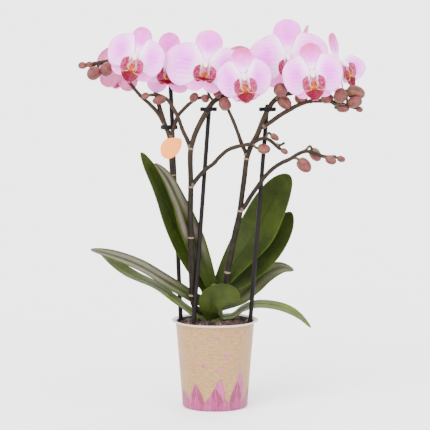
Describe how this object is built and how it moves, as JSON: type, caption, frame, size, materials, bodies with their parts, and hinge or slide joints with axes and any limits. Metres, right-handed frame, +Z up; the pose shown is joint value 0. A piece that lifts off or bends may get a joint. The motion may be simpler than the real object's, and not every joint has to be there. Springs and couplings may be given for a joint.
{
  "type": "potted orchid",
  "caption": "Moth orchid in its round nursery pot, with open pink blooms and buds on tall flower spikes clipped to stakes.",
  "frame": {"origin": "middle of the pot's flat underside, on the surface that the pot stands on", "axes": "+Z up along the pot's axis, -Y towards the viewer whom most blooms face, +X to that viewer's right"},
  "size_m": [0.2984, 0.1061, 0.4023],
  "materials": {
    "pot": "thin moulded plastic, kraft-coloured print, satin",
    "bark": "rough coarse bark chips",
    "crown": "smooth green leaf bases",
    "stake": "dark satin",
    "clip": "black satin",
    "tag": "smooth uncoated card, bare",
    "leaf": "waxy, satin",
    "spike": "smooth woody green-brown stem with rose-brown buds",
    "petal": "soft velvety petal with fine veins",
    "lip": "glossy waxy petal with orange callus"
  },
  "bodies": {
    "root": {"pot": "pot", "crown": "crown", "potting-bark": "bark", "stake-left": "stake", "stake-middle": "stake", "stake-right": "stake", "leaf-left-tall": "leaf", "leaf-left-inner": "leaf", "leaf-left-arching": "leaf", "leaf-left-low": "leaf", "leaf-right-tall": "leaf", "leaf-right-back": "leaf", "leaf-right-lower": "leaf", "leaf-right-drooping": "leaf", "leaf-front-short": "leaf", "spike-left": "spike", "spike-middle": "spike", "spike-right": "spike", "bloom-01": "petal", "lip-01": "lip", "bloom-02": "petal", "lip-02": "lip", "bloom-03": "petal", "lip-03": "lip", "bloom-04": "petal", "lip-04": "lip", "bloom-05": "petal", "lip-05": "lip", "bloom-06": "petal", "lip-06": "lip", "bloom-07": "petal", "lip-07": "lip", "bloom-08": "petal", "lip-08": "lip", "bloom-09": "petal", "lip-09": "lip", "bloom-10": "petal", "lip-10": "lip", "clip-left": "clip", "clip-middle": "clip", "clip-right": "clip", "tag": "tag"}
  },
  "joints": []
}
